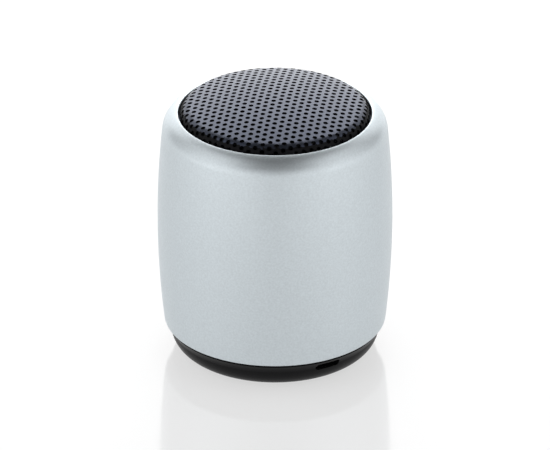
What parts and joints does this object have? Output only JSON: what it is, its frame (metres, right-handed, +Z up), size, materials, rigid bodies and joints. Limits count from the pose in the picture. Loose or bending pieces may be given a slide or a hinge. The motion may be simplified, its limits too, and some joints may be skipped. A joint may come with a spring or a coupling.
{
  "type": "wireless speaker",
  "caption": "Small barrel-shaped wireless desktop speaker: aluminium shell, domed perforated grille on top, black base cap with a charging slot, push button underneath.",
  "frame": {"origin": "centre of the foot ring's underside, on the surface the speaker stands on", "axes": "+Z up along the body's axis; the charging slot faces -Y"},
  "size_m": [0.06, 0.06, 0.07],
  "materials": {
    "anodised_aluminium": "fine sand-blasted, clear anodised",
    "grille_black": "semi-gloss black",
    "dust_cloth": "matte woven",
    "chassis_black": "matte moulded",
    "foam": "matte open-cell foam",
    "base_black": "satin moulded",
    "silicone": "matte",
    "clear_plastic": "clear polished",
    "rubber_black": "satin",
    "black_steel": "black electrophoretic coat",
    "zinc_steel": "bright zinc plate",
    "nickel_plate": "satin nickel plate",
    "cone_pulp": "matte pulp, coated",
    "coil_former": "amber film",
    "copper": "enamelled copper",
    "damper_cloth": "resin-dipped cotton",
    "terminal_fibre": "phenolic paper board",
    "brass": "tinned brass",
    "battery_foil": "satin laminate foil",
    "circuit_board": "green solder mask",
    "chip_black": "matte moulded epoxy",
    "antenna_ceramic": "matte",
    "nylon_white": "natural nylon",
    "led_lens": "milky resin",
    "wire_red": "smooth insulation",
    "wire_black": "smooth insulation"
  },
  "bodies": {
    "casing": {"amplifier_ic": "chip_black", "base_cap": "base_black", "base_screw_1": "zinc_steel", "base_screw_2": "zinc_steel", "base_screw_3": "zinc_steel", "base_screw_4": "zinc_steel", "battery_cell": "battery_foil", "battery_foam_pad": "foam", "battery_lead_black": "wire_black", "battery_lead_red": "wire_red", "battery_plug": "nylon_white", "battery_protection_board": "circuit_board", "battery_socket": "nylon_white", "wireless_ic": "chip_black", "bulk_capacitor": "battery_foil", "charger_ic": "chip_black", "charging_socket": "nickel_plate", "chip_antenna": "antenna_ceramic", "crystal_oscillator": "nickel_plate", "damper": "damper_cloth", "driver_basket": "black_steel", "driver_gasket": "foam", "driver_magnet": "nickel_plate", "driver_yoke": "zinc_steel", "dust_screen": "dust_cloth", "foot_ring": "silicone", "grille": "grille_black", "grille_retaining_ring": "chassis_black", "inner_chassis": "chassis_black", "led_light_pipe": "clear_plastic", "main_board": "circuit_board", "outer_shell": "anodised_aluminium", "pole_plate": "zinc_steel", "power_inductor": "chip_black", "socket_tongue": "chip_black", "speaker_lead_black": "wire_black", "speaker_lead_red": "wire_red", "status_led": "led_lens", "surround": "rubber_black", "tactile_switch": "chip_black", "terminal_board": "terminal_fibre", "terminal_lug_negative": "brass", "terminal_lug_positive": "brass", "tinsel_lead_negative": "copper", "tinsel_lead_positive": "copper", "wire_grommet": "rubber_black"},
    "power_button": {"power_button": "base_black"},
    "switch_plunger": {"switch_plunger": "nylon_white"},
    "cone_assembly": {"cone": "cone_pulp", "dust_cap": "cone_pulp", "voice_coil_former": "coil_former", "voice_coil_winding": "copper"}
  },
  "joints": [
    {"name": "power_button_press", "type": "slide", "parent": "casing", "child": "power_button", "axis": [0, 0, 1], "range_m": [0, 0.0004], "stiffness_N_per_m": 300},
    {"name": "switch_plunger_press", "type": "slide", "parent": "casing", "child": "switch_plunger", "axis": [0, 0, 1], "range_m": [0, 0.0004]},
    {"name": "cone_travel", "type": "slide", "parent": "casing", "child": "cone_assembly", "axis": [0, 0, 1], "range_m": [-0.0015, 0.0015], "stiffness_N_per_m": 1500, "deforming": ["surround", "damper", "tinsel_lead_positive", "tinsel_lead_negative"]}
  ],
  "couplings": [
    {"joint": "switch_plunger_press", "follows": "power_button_press", "ratio": 1}
  ]
}
